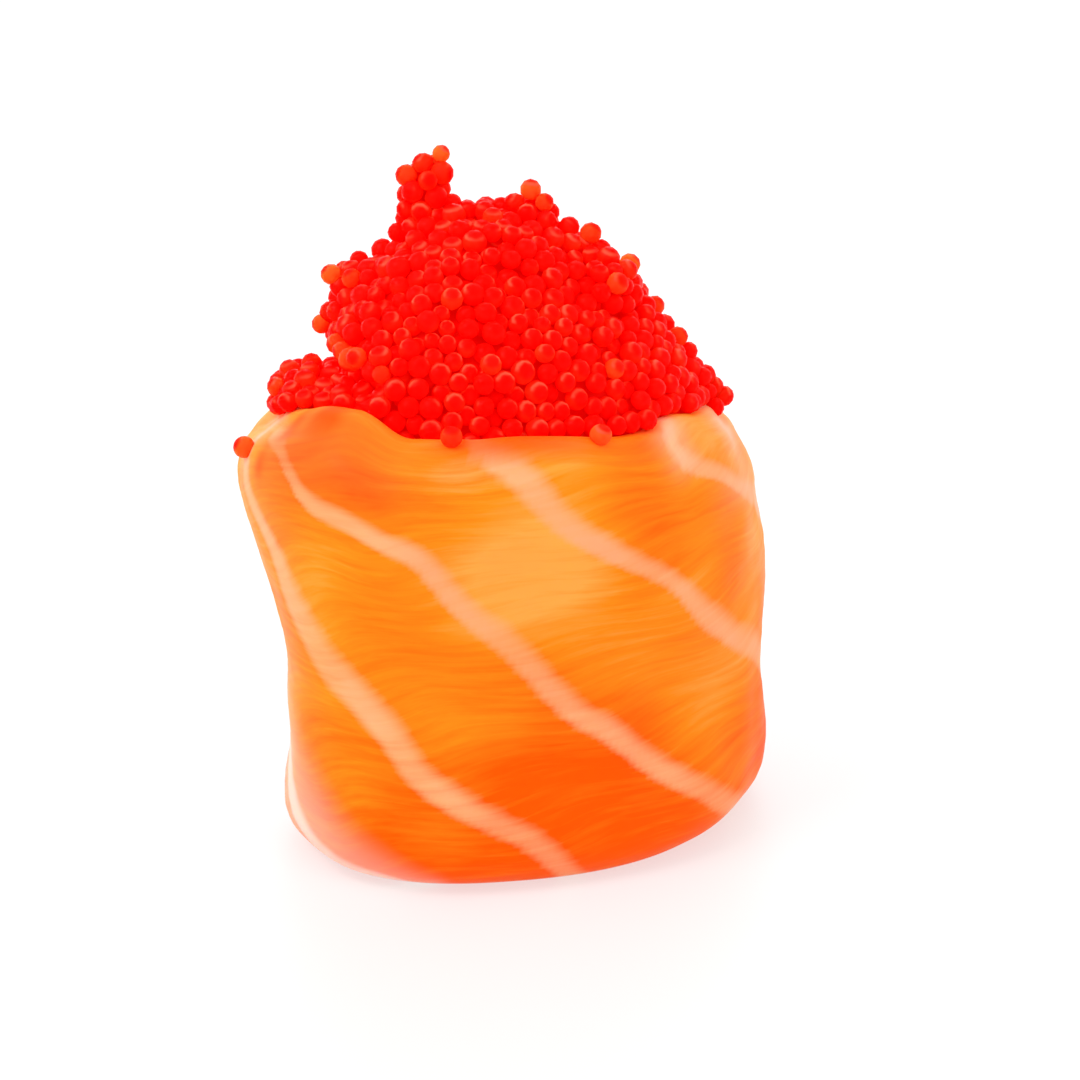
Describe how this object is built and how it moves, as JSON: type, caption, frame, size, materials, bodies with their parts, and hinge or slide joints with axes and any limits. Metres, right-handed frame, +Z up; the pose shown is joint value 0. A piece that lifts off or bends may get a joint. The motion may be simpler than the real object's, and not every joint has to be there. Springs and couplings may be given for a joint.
{
  "type": "gunkan sushi",
  "caption": "Squat upright roll wrapped in one thick slice of raw salmon, topped with a tall uneven heap of small orange-red fish roe.",
  "frame": {"origin": "middle of the outline seen from above, on the surface that the sushi stands on", "axes": "+Z up, -Y towards the shown side with the fat lines, +X to the right of someone who looks at that side"},
  "size_m": [0.0394, 0.042, 0.0513],
  "materials": {
    "salmon": "moist raw salmon, orange with pale soft-edged lines of fat",
    "roe": "glossy translucent orange-red fish eggs"
  },
  "bodies": {
    "root": {"salmon_wrap": "salmon", "roe_heap": "roe"}
  },
  "joints": []
}
